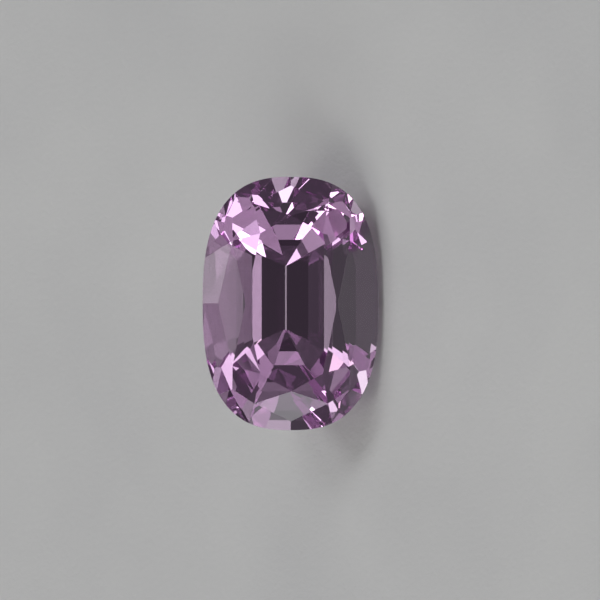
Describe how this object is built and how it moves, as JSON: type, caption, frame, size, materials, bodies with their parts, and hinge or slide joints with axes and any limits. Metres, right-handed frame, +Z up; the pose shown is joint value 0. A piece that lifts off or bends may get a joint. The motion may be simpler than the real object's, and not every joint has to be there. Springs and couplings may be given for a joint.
{
  "type": "faceted gemstone",
  "caption": "Loose cut kunzite: clear lilac-pink stone, elongated cushion outline, faceted crown with a flat table, deep stepped pavilion with a keel.",
  "frame": {"origin": "centre of the bounding box at the height of the surface the stone lies on", "axes": "+Y along the length of the stone, +Z up; the stone lies on its right pavilion flank, so the table faces up and towards +X"},
  "size_m": [0.0066, 0.012, 0.0064],
  "materials": {
    "kunzite": "clear, polished flat facets, lilac-pink through the depth"
  },
  "bodies": {
    "root": {"kunzite_gem": "kunzite"}
  },
  "joints": []
}
